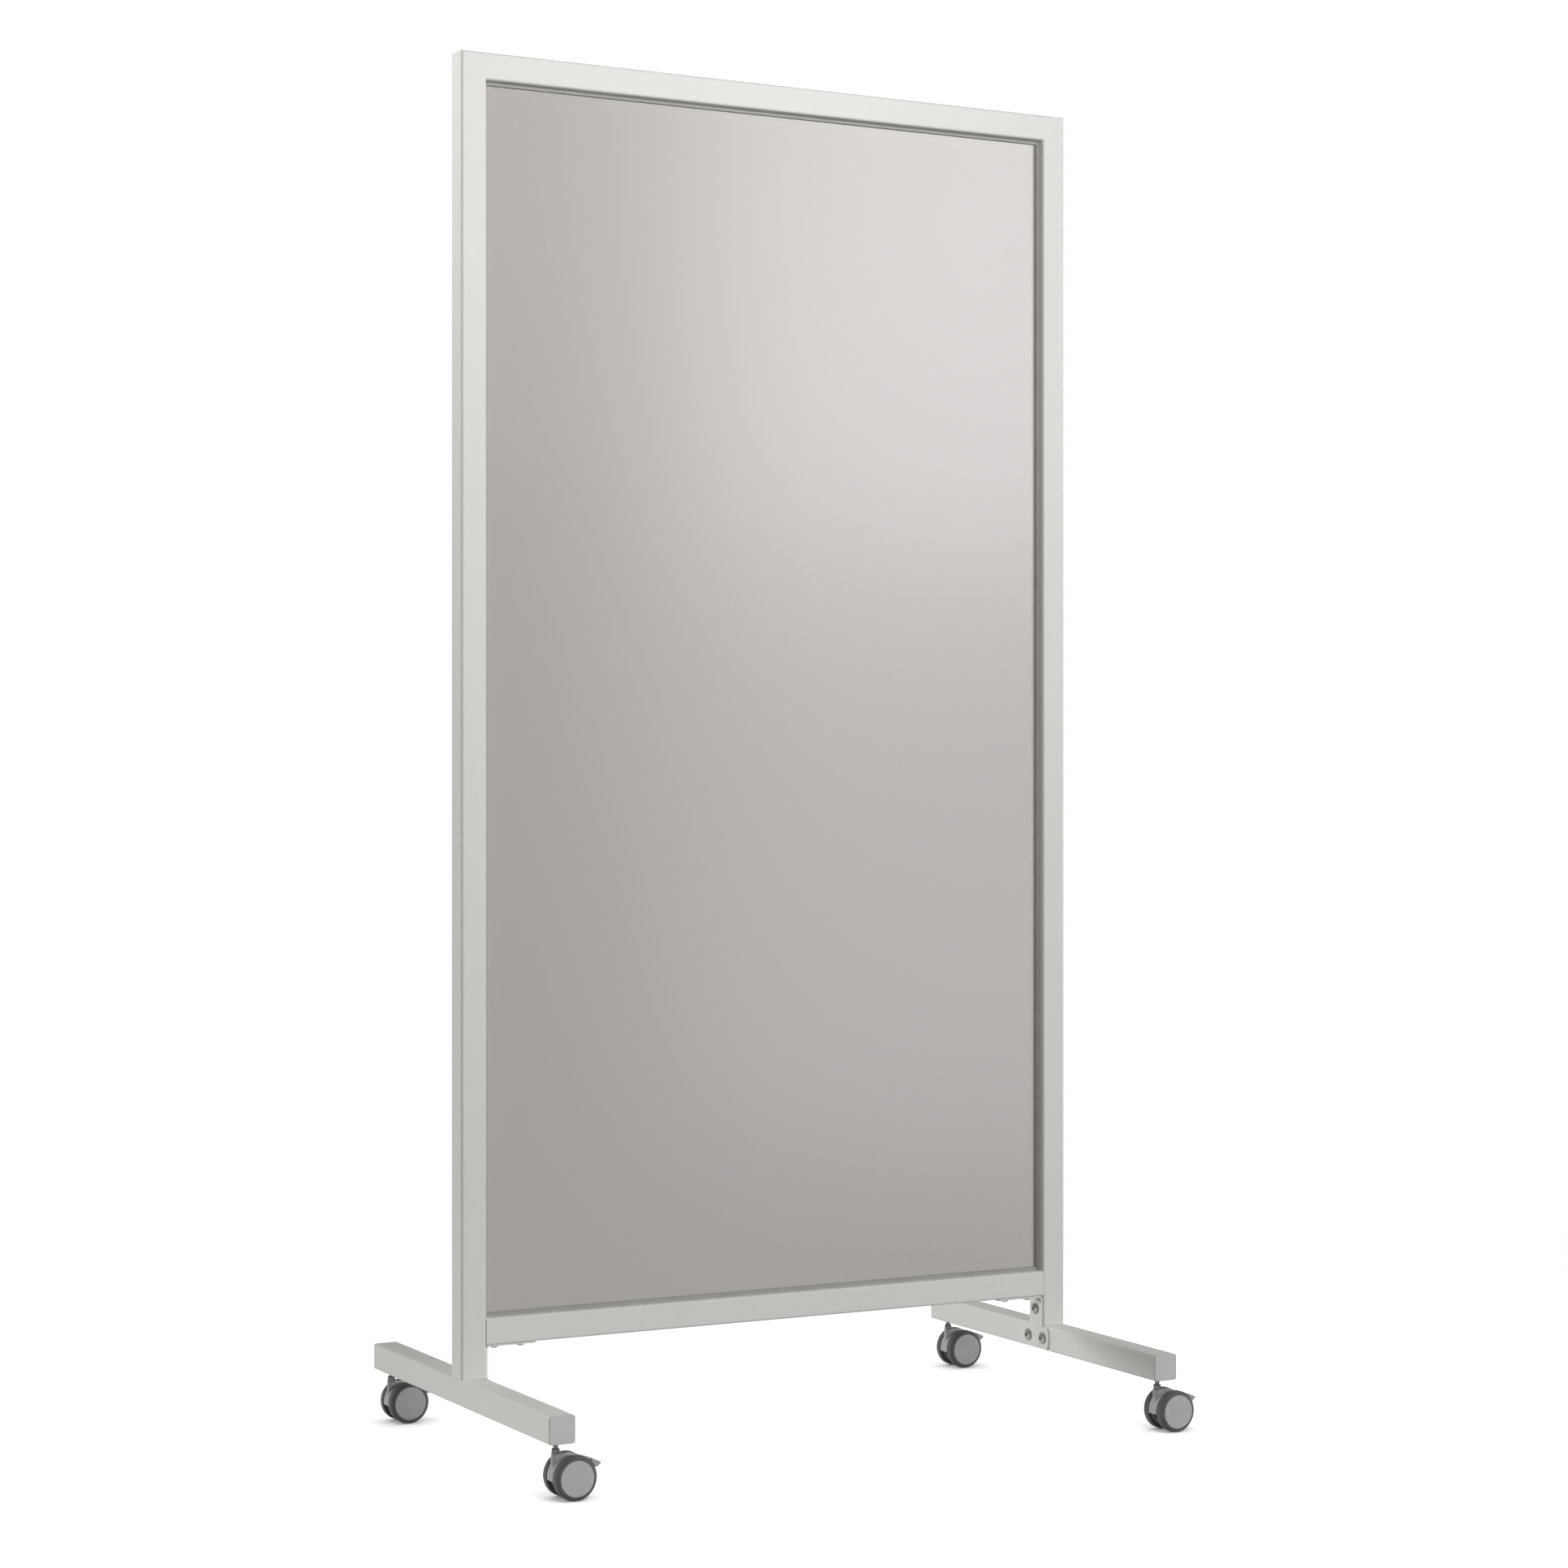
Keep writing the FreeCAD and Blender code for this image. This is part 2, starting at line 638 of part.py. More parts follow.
def screw_template():
    body = new_body("screw_template", keep=False)
    sketch = new_sketch(body, "XZ_Plane")
    head = size.screw_head / 2
    hex_reach = size.hex_socket / math.sqrt(3)
    crown = hex_reach + size.hex_rim
    outline(sketch, [
        (0, -size.screw_length),
        (size.thread / 2, -size.screw_length),
        (size.thread / 2, 0),
        (size.screw_flange / 2, 0),
        (size.screw_flange / 2, size.screw_flange_height),
        (head, size.screw_flange_height, size.screw_dome, 1),
        (crown, size.screw_head_height),
        (0, size.screw_head_height),
    ])
    revolve(body, sketch)
    socket = new_sketch(body, "XY_Plane", lift=size.screw_head_height)
    angles = [math.radians(60 * i) for i in range(6)]
    outline(socket, [(hex_reach * math.cos(a), hex_reach * math.sin(a)) for a in angles])
    cut(body, socket, size.hex_depth)
    return body


def insert_template():
    """A clinched insert: flush at the tube's face, bulged behind its wall."""
    body = new_body("insert_template", keep=False)
    sketch = new_sketch(body, "XZ_Plane")
    bore = size.thread / 2 + size.thread_clearance
    outside = size.insert_body / 2
    bulge = size.insert_bulge / 2
    behind = -size.tube_wall
    outline(sketch, [
        (bore, -size.insert_length),
        (outside, -size.insert_length),
        (outside, behind - size.insert_bulge_length),
        (bulge, behind - size.insert_bulge_length),
        (bulge, behind),
        (outside, behind),
        (outside, 0),
        (bore, 0),
    ])
    revolve(body, sketch)
    return body


def bracket_frames(side, plate):
    """Where one side's fasteners sit and face, on a plate of that thickness or on the tubes."""
    wall = (inner_face - plate) * side
    below = size.rail_height - plate
    inward = (-side, 0, 0)
    frames = [(wall, across, foot_middle, inward) for across in foot_screws]
    frames.append((wall, 0, upright_screw_height, inward))
    for inset in flange_screws:
        frames.append(((inner_face - inset) * side, 0, below, DOWN))
    return frames


def make_fasteners():
    screw = screw_template()
    insert = insert_template()
    for label, side in (("left", -1), ("right", 1)):
        group(f"bracket_screws_{label}", screw, bracket_frames(side, size.bracket_plate))
        group(f"bracket_inserts_{label}", insert, bracket_frames(side, as_size(0)))
    corners = [(side, end) for side in (-1, 1) for end in (-1, 1)]
    group("stem_inserts", insert, [
        (tube_line * side, stem_line * end, size.foot_height, DOWN) for side, end in corners
    ])


# Casters: origin on the floor under the stem, the wheels trail towards +X

wheel_side = size.housing_width / 2 + size.wheel_gap


def make_stem(label, x, y):
    body = new_body(label, x=x, y=y)
    sketch = new_sketch(body, "XZ_Plane")
    collar = size.collar / 2
    collar_low = size.column_top + size.collar_gap
    collar_high = collar_low + size.collar_height
    rounding = size.collar_round
    top = size.foot_height + size.insert_length
    outline(sketch, [
        (0, size.column_top - size.stem_depth),
        (size.stem_shank / 2, size.column_top - size.stem_depth),
        (size.stem_shank / 2, collar_low),
        (collar, collar_low),
        (collar, collar_high - rounding, rounding, 1),
        (collar - rounding, collar_high),
        (size.stem_neck / 2, collar_high),
        (size.stem_neck / 2, size.foot_height),
        (size.thread / 2, size.foot_height),
        (size.thread / 2, top),
        (0, top),
    ])
    revolve(body, sketch)


def make_housing(label, x, y):
    """A moulded housing: a hood between the wheels, a column for the stem and a web behind it."""
    body = new_body(label, x=x, y=y)
    axle_x, axle_z = size.caster_trail, size.wheel_radius
    radius, rear = size.housing_radius, size.housing_rear
    drop = axle_z - size.housing_skirt
    boss = leg(size.housing_boss / 2, drop)
    end_run = size.hood_end - axle_x
    side = new_sketch(body, "XZ_Plane")
    outline(side, [
        (axle_x - leg(radius, drop), size.housing_skirt, radius, -1),
        (size.hood_end, axle_z + leg(radius, end_run)),
        (size.hood_end, axle_z + leg(rear, end_run), rear, -1),
        (axle_x + leg(rear, drop), size.housing_skirt),
        (axle_x + boss, size.housing_skirt, size.housing_boss / 2, -1),
        (axle_x - boss, size.housing_skirt),
    ])
    pad(body, side, size.housing_width, symmetric=True)
    half = size.housing_width / 2
    highest = axle_z + radius

    def hood_edge(edge):
        on_side = lies_at(edge, y=half) or lies_at(edge, y=-half)
        return on_side and near(edge.BoundBox.ZMax, highest)

    dress(body, "Fillet", size.housing_round, hood_edge)
    web_top = size.column_top - size.web_drop
    web = new_sketch(body, "XZ_Plane")
    outline(web, [
        (0, axle_z),
        (size.web_end, axle_z),
        (size.web_end, axle_z + leg(radius, axle_x - size.web_end)),
        (size.web_flat, web_top),
        (0, web_top),
    ])
    pad(body, web, size.column, symmetric=True)
    column_base = size.column_top - size.stem_depth - size.column / 2
    column = new_sketch(body, "XY_Plane", lift=column_base)
    ring(column, size.column / 2)
    pad(body, column, size.column_top - column_base)
    bore = new_sketch(body, "XY_Plane", lift=size.column_top)
    ring(bore, size.stem_shank / 2 + size.stem_fit)
    cut(body, bore, size.stem_depth + size.collar_gap)
    inner = rear - size.recess_wall
    recess_front = size.column / 2 + size.recess_wall
    recess_top = size.slot_floor - size.recess_roof
    for facing, forward in ((half, False), (-half, True)):
        recess = new_sketch(body, "XZ_Plane", lift=facing)
        outline(recess, [
            (recess_front, size.housing_skirt),
            (recess_front, recess_top),
            (axle_x + leg(inner, recess_top - axle_z), recess_top, inner, -1),
            (axle_x + leg(inner, drop), size.housing_skirt),
            (axle_x + boss, size.housing_skirt, size.housing_boss / 2, 1),
            (axle_x, axle_z + size.housing_boss / 2, size.housing_boss / 2, 1),
            (axle_x - boss, size.housing_skirt),
        ])
        cut(body, recess, size.recess_depth, forward=forward)
    axle_hole = new_sketch(body, "XZ_Plane")
    ring(axle_hole, size.axle / 2, axle_x, axle_z)
    cut(body, axle_hole, size.housing_width + OVERCUT, symmetric=True)
    roof = radius - size.hood_roof
    roof_end = axle_z + leg(roof, end_run)
    far = axle_x + radius + OVERCUT
    slot = new_sketch(body, "XZ_Plane")
    outline(slot, [
        (size.slot_front, size.slot_floor),
        (far, size.slot_floor),
        (far, roof_end),
        (size.hood_end, roof_end, roof, 1),
        (size.slot_front, axle_z + leg(roof, size.slot_front - axle_x)),
    ])
    cut(body, slot, size.slot_width, symmetric=True)
    pivot = new_sketch(body, "XZ_Plane")
    ring(pivot, size.pivot_pin / 2 + size.pivot_fit, size.pivot_x, size.pivot_z)
    pin_room = size.pivot_reach + size.pivot_end_gap
    cut(body, pivot, size.slot_width + pin_room * 2, symmetric=True)


def make_lever(label, x, y):
    """The brake lever: an arm on moulded pins, a shoe over both tyres and a drooping pedal."""
    body = new_body(label, x=x, y=y)
    arm_width = size.slot_width - size.lever_clearance * 2
    back, low = size.pivot_x - size.caster_trail, size.pivot_z - size.wheel_radius
    swing_sine, swing_cosine = sine(size.press_angle), cosine(size.press_angle)
    centre_x = size.pivot_x - back * swing_cosine + low * swing_sine
    centre_z = size.pivot_z - back * swing_sine - low * swing_cosine
    shoe = size.wheel_radius + size.shoe_gap
    shoe_back = shoe + size.shoe_thickness
    root_x = size.hood_end + size.pedal_gap
    inner_x = root_x + size.pedal_root
    inside = size.housing_rear + size.pedal_clearance
    heel_x = centre_x + leg(inside, size.pedal_heel - centre_z)
    pedal = new_sketch(body, "XZ_Plane")
    outline(pedal, [
        (root_x, size.pedal_top, size.pedal_curve, -1),
        (size.pedal_reach, size.pedal_tip),
        (size.pedal_lip_reach, size.pedal_lip),
        (heel_x, size.pedal_heel, inside, 1),
        (inner_x, centre_z + leg(inside, inner_x - centre_x)),
    ])
    pad(body, pedal, size.pedal_width, symmetric=True)
    half = size.pedal_width / 2

    def nose_edge(edge):
        on_side = lies_at(edge, y=half) or lies_at(edge, y=-half)
        box = edge.BoundBox
        return on_side and near(box.ZMax, size.pedal_tip) and near(box.ZMin, size.pedal_lip)

    dress(body, "Fillet", size.pedal_nose, nose_edge)

    def upper_edge(edge):
        """The pedal's curved edge. The rounding runs on along the edges that it flows into."""
        on_side = lies_at(edge, y=half) or lies_at(edge, y=-half)
        box = edge.BoundBox
        return on_side and near(box.ZMax, size.pedal_top) and box.XMax > inner_x.value + OVERCUT

    dress(body, "Fillet", size.pedal_round, upper_edge)
    shoe_sketch = new_sketch(body, "XZ_Plane")
    start_x, end_x = size.shoe_start, size.shoe_end
    outline(shoe_sketch, [
        (start_x, centre_z + leg(shoe, start_x - centre_x)),
        (start_x, centre_z + leg(shoe_back, start_x - centre_x), shoe_back, -1),
        (end_x, centre_z + leg(shoe_back, end_x - centre_x)),
        (end_x, centre_z + leg(shoe, end_x - centre_x), shoe, 1),
    ])
    pad(body, shoe_sketch, size.shoe_width, symmetric=True)
    arm = new_sketch(body, "XZ_Plane")
    rectangle(arm, size.pivot_x, size.arm_end,
              size.pivot_z - size.arm_below, size.pivot_z + size.arm_above)
    pad(body, arm, arm_width, symmetric=True)
    eye = new_sketch(body, "XZ_Plane")
    ring(eye, size.lever_eye, size.pivot_x, size.pivot_z)
    pad(body, eye, arm_width, symmetric=True)
    pins = new_sketch(body, "XZ_Plane")
    ring(pins, size.pivot_pin / 2, size.pivot_x, size.pivot_z)
    pad(body, pins, size.slot_width + size.pivot_reach * 2, symmetric=True)


def make_axle(label, x, y):
    body = new_body(label, x=x + size.caster_trail, y=y, z=size.wheel_radius)
    sketch = new_sketch(body, "XZ_Plane")
    ring(sketch, size.axle / 2)
    pad(body, sketch, (wheel_side + size.axle_reach) * 2, symmetric=True)


def wheel_body(label, x, y, side):
    """A body whose +Z is the wheel's axis, pointing away from the housing."""
    return new_body(label, x=x + size.caster_trail, y=y + wheel_side * side, z=size.wheel_radius,
                    axis=(1, 0, 0), angle=-90.0 * side)


def make_hub(label, x, y, side):
    body = wheel_body(label, x, y, side)
    sketch = new_sketch(body, "XZ_Plane")
    bore = size.axle / 2 + size.axle_fit
    bore_end = size.axle_reach + size.axle_end_gap
    seat = size.tyre_seat - size.tyre_seat_gap
    rim = seat - size.hub_rim
    web = size.wheel_width - size.hub_web
    mark = size.gate_mark / 2
    crown = size.wheel_width + size.disc_crown
    crown_radius = (seat * seat + size.disc_crown * size.disc_crown) / (size.disc_crown * 2)
    mark_edge = crown - crown_radius + leg(crown_radius, mark)
    outline(sketch, [
        (0, bore_end),
        (bore, bore_end),
        (bore, 0),
        (size.hub_boss / 2, 0),
        (size.hub_boss / 2, web),
        (rim, web),
        (rim, 0),
        (seat, 0),
        (seat, size.wheel_width, crown_radius, 1),
        (mark, mark_edge),
        (mark, crown - size.gate_mark_depth),
        (0, crown - size.gate_mark_depth),
    ])
    revolve(body, sketch)
    dress(body, "Fillet", size.disc_round, lambda edge: lies_at(edge, z=size.wheel_width))
    rib = new_sketch(body, "XY_Plane", lift=size.rib_drop)
    half_rib = size.rib_thickness / 2
    rectangle(rib, size.hub_boss / 2 - half_rib, rim + half_rib, -half_rib, half_rib)
    ribs = pad(body, rib, web - size.rib_drop)
    pattern_round(body, ribs, HUB_RIBS)


def make_tyre(label, x, y, side):
    body = wheel_body(label, x, y, side)
    sketch = new_sketch(body, "XZ_Plane")
    shoulder = size.tyre_inner_shoulder
    outline(sketch, [
        (size.tyre_seat, 0),
        (size.wheel_radius - shoulder, 0, shoulder, 1),
        (size.wheel_radius, shoulder),
        (size.wheel_radius, size.tyre_flat, size.tyre_shoulder, 1),
        (size.tyre_seat, size.wheel_width),
    ])
    revolve(body, sketch)


def make_caster(corner, x, y):
    make_stem(f"caster_{corner}_stem", x, y)
    make_housing(f"caster_{corner}_housing", x, y)
    make_axle(f"caster_{corner}_axle", x, y)
    make_lever(f"caster_{corner}_brake_lever", x, y)
    for face, side in (("front", -1), ("rear", 1)):
        make_hub(f"caster_{corner}_hub_{face}", x, y, side)
        make_tyre(f"caster_{corner}_tyre_{face}", x, y, side)


# The whole board

for label, side in (("left", -1), ("right", 1)):
    make_upright(f"upright_{label}", side)
    make_foot(f"foot_{label}", side)
    make_foot_cap(f"foot_cap_{label}_front", side, -1)
    make_foot_cap(f"foot_cap_{label}_rear", side, 1)
    make_bracket(f"bracket_{label}", side)
make_top_rail()
make_bottom_rail()
make_glazing()
make_glass()
make_fasteners()
for label, side in (("left", -1), ("right", 1)):
    for face, end in (("front", -1), ("rear", 1)):
        make_caster(f"{face}_{label}", tube_line * side, stem_line * end)
doc.recompute()

# Every object has to be sound before anything is written
for thing in doc.Objects:
    if "Invalid" in thing.State or "Error" in thing.State:
        raise RuntimeError(f"{thing.Label} is {thing.State}")
for node in nodes:
    if node.Shape.isNull() or not node.Shape.isValid():
        raise RuntimeError(f"{node.Label} has no sound shape")

os.makedirs("parts", exist_ok=True)
for node in nodes:
    node.Shape.exportStep(os.path.join("parts", f"{node.Label}.step"))
print(len(nodes), "nodes,", sum(len(node.Shape.Solids) for node in nodes), "solids")
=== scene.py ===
"""Mobile glass whiteboard: finishes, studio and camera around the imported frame.

Metres. +X runs along the board to the right, -Y is the writing side, +Z is up.
"""
import math

import bpy
import numpy as np
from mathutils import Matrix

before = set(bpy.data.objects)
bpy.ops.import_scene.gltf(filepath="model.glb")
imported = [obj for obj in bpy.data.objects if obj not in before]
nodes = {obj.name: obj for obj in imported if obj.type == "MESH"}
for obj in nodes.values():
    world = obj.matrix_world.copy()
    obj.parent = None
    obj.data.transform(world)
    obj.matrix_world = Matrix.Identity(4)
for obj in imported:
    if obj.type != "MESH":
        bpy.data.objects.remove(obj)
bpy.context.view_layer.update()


# Frame tubes, feet and brackets: square steel tube and bent plate, welded or
# bolted together, with one satin off-white powder coat over everything.
# The coat has a fine orange peel and drifts very slightly in tone.

class Shade:
    """One output socket of a material. Operators on it add Math nodes."""

    def __init__(self, tree, socket):
        self.tree = tree
        self.socket = socket

    def node(self, kind, settings=None, inputs=None, output=0):
        """Adds a node: its settings first, then values or links for its sockets."""
        made = self.tree.nodes.new(kind)
        for name, value in (settings or {}).items():
            setattr(made, name, value)
        for name, value in (inputs or {}).items():
            if isinstance(value, Shade):
                self.tree.links.new(value.socket, made.inputs[name])
            else:
                made.inputs[name].default_value = value
        return Shade(self.tree, made.outputs[output])

    def math(self, operation, first, second):
        return self.node("ShaderNodeMath", {"operation": operation}, {0: first, 1: second})

    def __add__(self, other):
        return self.math("ADD", self, other)

    def __sub__(self, other):
        return self.math("SUBTRACT", self, other)

    def __mul__(self, other):
        return self.math("MULTIPLY", self, other)

    def __rsub__(self, other):
        return self.math("SUBTRACT", other, self)

    __radd__ = __add__
    __rmul__ = __mul__

    def between(self, low, high):
        """0 below low, 1 above high, with a smooth step between them."""
        settings = {"interpolation_type": "SMOOTHSTEP"}
        inputs = {"Value": self, "From Min": low, "From Max": high}
        return self.node("ShaderNodeMapRange", settings, inputs)

    def mix(self, first, second):
        """The first colour where this value is 0, the second where it is 1."""
        inputs = {0: self, 6: first, 7: second}
        return self.node("ShaderNodeMix", {"data_type": "RGBA"}, inputs, output=2)

    def noise(self, scale, detail=2.0):
        inputs = {"Vector": self, "Scale": scale, "Detail": detail}
        return self.node("ShaderNodeTexNoise", {}, inputs)

    def bump(self, depth, strength):
        """A normal from this height, depth metres from 0 to 1."""
        inputs = {"Strength": strength, "Distance": depth, "Height": self}
        return self.node("ShaderNodeBump", {}, inputs)


def new_finish(name, **constants):
    """A material, its Object coordinates and a function that feeds its shader's sockets."""
    material = bpy.data.materials.new(name)
    material.use_nodes = True
    tree = material.node_tree
    shader = tree.nodes["Principled BSDF"]
    for socket, value in constants.items():
        shader.inputs[socket.replace("_", " ")].default_value = value
    spot = Shade(tree, tree.nodes.new("ShaderNodeTexCoord").outputs["Object"])

    def feed(**shades):
        for socket, shade in shades.items():
            tree.links.new(shade.socket, shader.inputs[socket.replace("_", " ")])

    return material, spot, feed


def srgb(red, green, blue):
    """A colour from 8-bit display values, as linear light."""
    share = np.array([red, green, blue]) / 255.0
    linear = np.where(share <= 0.04045, share / 12.92, ((share + 0.055) / 1.055) ** 2.4)
    return (*linear.tolist(), 1.0)


def dress(material, *names):
    """Gives CAD nodes a finish in their own material slots."""
    for name in names:
        slots = nodes[name].data.materials
        slots.clear()
        slots.append(material)


PEEL_SCALE = 700.0
PEEL_DEPTH = 0.00006
COAT_DRIFT_SCALE = 3.0
DRIFT_LOW = 0.3
DRIFT_HIGH = 0.7


def powder_coat(name, light, deep):
    material, spot, feed = new_finish(name, IOR=1.5)
    peel = spot.noise(PEEL_SCALE)
    drift = spot.noise(COAT_DRIFT_SCALE)
    feed(
        Base_Color=drift.between(DRIFT_LOW, DRIFT_HIGH).mix(light, deep),
        Roughness=0.52 + 0.10 * peel,
        Normal=peel.bump(PEEL_DEPTH, 0.5),
    )
    return material


frame_coat = powder_coat("frame_powder_coat", srgb(232, 231, 227), srgb(229, 228, 224))
dress(frame_coat, "upright_left", "upright_right", "top_rail", "bottom_rail",
      "foot_left", "foot_right", "bracket_left", "bracket_right")


# Foot end caps: light grey moulded plugs pressed into the open ends of the feet.
# Their face has a fine spark-eroded grain and is a little cooler than the paint.

MOULD_GRAIN = 1500.0
MOULD_SHINE = 0.5
PORE_DEPTH = 0.00005
PORE_DETAIL = 3.0
MOULD_DRIFT_SCALE = 25.0


def grained(name, light, deep, roughness, grain=MOULD_GRAIN, shine=MOULD_SHINE):
    """A finely grained finish, as on moulded plastic, rubber and matt paint."""
    material, spot, feed = new_finish(name, IOR=1.49, Specular_IOR_Level=shine)
    pores = spot.noise(grain, PORE_DETAIL)
    drift = spot.noise(MOULD_DRIFT_SCALE)
    feed(
        Base_Color=drift.between(DRIFT_LOW, DRIFT_HIGH).mix(light, deep),
        Roughness=roughness + 0.12 * pores,
        Normal=pores.bump(PORE_DEPTH, 0.6),
    )
    return material


cap_moulding = grained("cap_moulding", srgb(212, 212, 211), srgb(206, 206, 206), 0.42)
for side in ("left", "right"):
    dress(cap_moulding, f"foot_cap_{side}_front", f"foot_cap_{side}_rear")


# Glazing: steel channels in matt grey paint on the frame's inner faces hold the glass in
# extruded grey rubber strips, whose lips stand just proud of the channel. Both greys,
# darker than the frame coat, are partly painted shade for the recess round the glass.

MATT_ROUGHNESS = 0.75
MATT_GRAIN = 900.0
MATT_SHINE = 0.1
MATT = (MATT_ROUGHNESS, MATT_GRAIN, MATT_SHINE)
# Channel and strip tones: their own grey plus painted shade of the recess.
channel_coat_and_shade = grained("channel_coat_and_shade", srgb(174, 173, 169), srgb(168, 167, 164), *MATT)
strip_rubber_and_shade = grained("strip_rubber_and_shade", srgb(186, 186, 182), srgb(176, 176, 173), *MATT)
for edge in ("left", "right", "bottom", "top"):
    dress(channel_coat_and_shade, f"glazing_channel_{edge}")
    dress(strip_rubber_and_shade, f"glazing_strip_{edge}")


# Glass pane: one tempered sheet, satin etched and colour backed in a warm light
# grey, with ground edges. Wiping leaves faint broad arcs in its sheen.

GLASS_IOR = 1.85
ETCH_SCALE = 2600.0
ETCH_DEPTH = 0.00002
WIPE_SCALE = 5.0
WIPE_DETAIL = 4.0
WIPE_STRETCH = (1.0, 1.0, 0.35)
BACKING_SCALE = 1.3


def satin_glass():
    material, spot, feed = new_finish(
        "satin_glass", IOR=GLASS_IOR, Coat_Weight=1.0, Coat_IOR=GLASS_IOR, Coat_Roughness=0.23)
    etch = spot.noise(ETCH_SCALE)
    stretched = spot.node("ShaderNodeMapping", {}, {"Vector": spot, "Scale": WIPE_STRETCH})
    wipe = stretched.noise(WIPE_SCALE, WIPE_DETAIL)
    backing = spot.noise(BACKING_SCALE)
    feed(
        Base_Color=backing.between(0.25, 0.75).mix(srgb(157, 151, 148), srgb(155, 149, 146)),
        Roughness=0.21 + 0.05 * wipe,
        Normal=etch.bump(ETCH_DEPTH, 0.4),
    )
    return material


dress(satin_glass(), "glass_pane")


# Screws and inserts: flanged button-head screws in zinc-plated steel, turned and
# cold headed, driven into clinched steel inserts behind the tube walls.

BRUSH_SCALE = 1800.0
BRUSH_DETAIL = 4.0
BRUSH_DEPTH = 0.00002
PLATING_CLOUD_SCALE = 260.0


def plated_steel(name, light, deep, roughness):
    material, spot, feed = new_finish(name, Metallic=1.0)
    brush = spot.noise(BRUSH_SCALE, BRUSH_DETAIL)
    cloud = spot.noise(PLATING_CLOUD_SCALE)
    feed(
        Base_Color=cloud.between(DRIFT_LOW, DRIFT_HIGH).mix(light, deep),
        Roughness=roughness + 0.16 * brush,
        Normal=brush.bump(BRUSH_DEPTH, 0.5),
    )
    return material


screw_zinc = plated_steel("screw_zinc", srgb(162, 162, 160), srgb(146, 146, 144), 0.20)
insert_zinc = plated_steel("insert_zinc", srgb(186, 182, 170), srgb(170, 167, 158), 0.34)
for side in ("left", "right"):
    dress(screw_zinc, f"bracket_screws_{side}")
    dress(insert_zinc, f"bracket_inserts_{side}")
dress(insert_zinc, "stem_inserts")


# Caster stems and axles: turned steel. The stem is a dull dark grey, partly painted shade,
# and carries a plain collar over the housing; the axle is a bright pin through the housing.

# The stem's dark grey is partly painted shade.
stem_grey_and_shade = plated_steel("stem_grey_and_shade", srgb(118, 118, 120), srgb(104, 104, 106), 0.38)
axle_steel = plated_steel("axle_steel", srgb(190, 190, 188), srgb(176, 176, 175), 0.28)
corners = [f"{face}_{side}" for side in ("left", "right") for face in ("front", "rear")]
for corner in corners:
    dress(stem_grey_and_shade, f"caster_{corner}_stem")
    dress(axle_steel, f"caster_{corner}_axle")


# Caster housings and brake levers: satin grey mouldings. The housing swivels on
# the stem, the lever hangs on two moulded pins in the housing's rear slot.

housing_moulding = grained("housing_moulding", srgb(184, 184, 184), srgb(176, 176, 176), 0.45)
lever_moulding = grained("lever_moulding", srgb(178, 178, 178), srgb(170, 170, 170), 0.42)
for corner in corners:
    dress(housing_moulding, f"caster_{corner}_housing")
    dress(lever_moulding, f"caster_{corner}_brake_lever")


# Wheels: a grey moulded hub with a plain crowned disc, and a soft dark tyre
# moulded round it. The two wheels of a caster turn separately on one axle.

TYRE_GRAIN = 1100.0
disc_moulding = grained("disc_moulding", srgb(195, 195, 195), srgb(189, 189, 189), 0.40)
tyre_rubber = grained("tyre_rubber", srgb(98, 98, 98), srgb(90, 90, 90), 0.55, TYRE_GRAIN)
for corner in corners:
    for face in ("front", "rear"):
        dress(disc_moulding, f"caster_{corner}_hub_{face}")
        dress(tyre_rubber, f"caster_{corner}_tyre_{face}")


# Studio: a white surround with a pale floor. Two soft boxes on the right are mirrored
# in the glass, one stands in front, one behind the left upright near the top and one
# at the back, and three broad far lights fill the sides.

def lamp(name, kind, place, target, energy, **settings):
    """A light at place, aimed at target. Only the boxes on the right show in reflections."""
    light = bpy.data.lights.new(name, kind)
    light.energy = energy
    for key, value in settings.items():
        setattr(light, key, value)
    thing = bpy.data.objects.new(name, light)
    bpy.context.scene.collection.objects.link(thing)
    aim = np.array(target) - np.array(place)
    turn = math.atan2(aim[1], aim[0]) - math.pi / 2
    rise = math.atan2(aim[2], math.hypot(aim[0], aim[1]))
    thing.location = place
    thing.rotation_euler = (math.pi / 2 + rise, 0.0, turn)
    thing.visible_camera = False
    thing.visible_glossy = name.startswith("box_right")


lamp("box_right", "AREA", (2.78, -3.72, 2.5), (0.2, 0.0, 1.6), 25.5,
     shape="RECTANGLE", size=2.0, size_y=1.9)
lamp("box_right_low", "AREA", (2.75, -3.75, 0.65), (0.2, 0.0, 0.8), 8.0,
     shape="RECTANGLE", size=2.0, size_y=1.7)
lamp("box_front", "AREA", (-0.1, -2.0, 2.22), (-0.15, 0.0, 1.6), 28.6, size=1.0)
lamp("box_behind", "AREA", (-1.2, 0.6, 2.3), (-0.5, 0.0, 1.9), 7.0, size=0.6)
lamp("box_back", "AREA", (0.4, 3.2, 1.5), (0.0, 0.0, 1.1), 20.0, size=1.6)

ORIGIN = (0.0, 0.0, 0.0)
FAR_LIGHT_SPREAD = math.radians(18.0)
lamp("far_right", "SUN", (5.0, -8.5, 1.5), ORIGIN, 0.78, angle=FAR_LIGHT_SPREAD)
lamp("far_side", "SUN", (8.0, 2.5, 1.6), ORIGIN, 1.3, angle=FAR_LIGHT_SPREAD)
lamp("far_left", "SUN", (-8.0, 6.0, 1.6), ORIGIN, 1.85, angle=FAR_LIGHT_SPREAD)

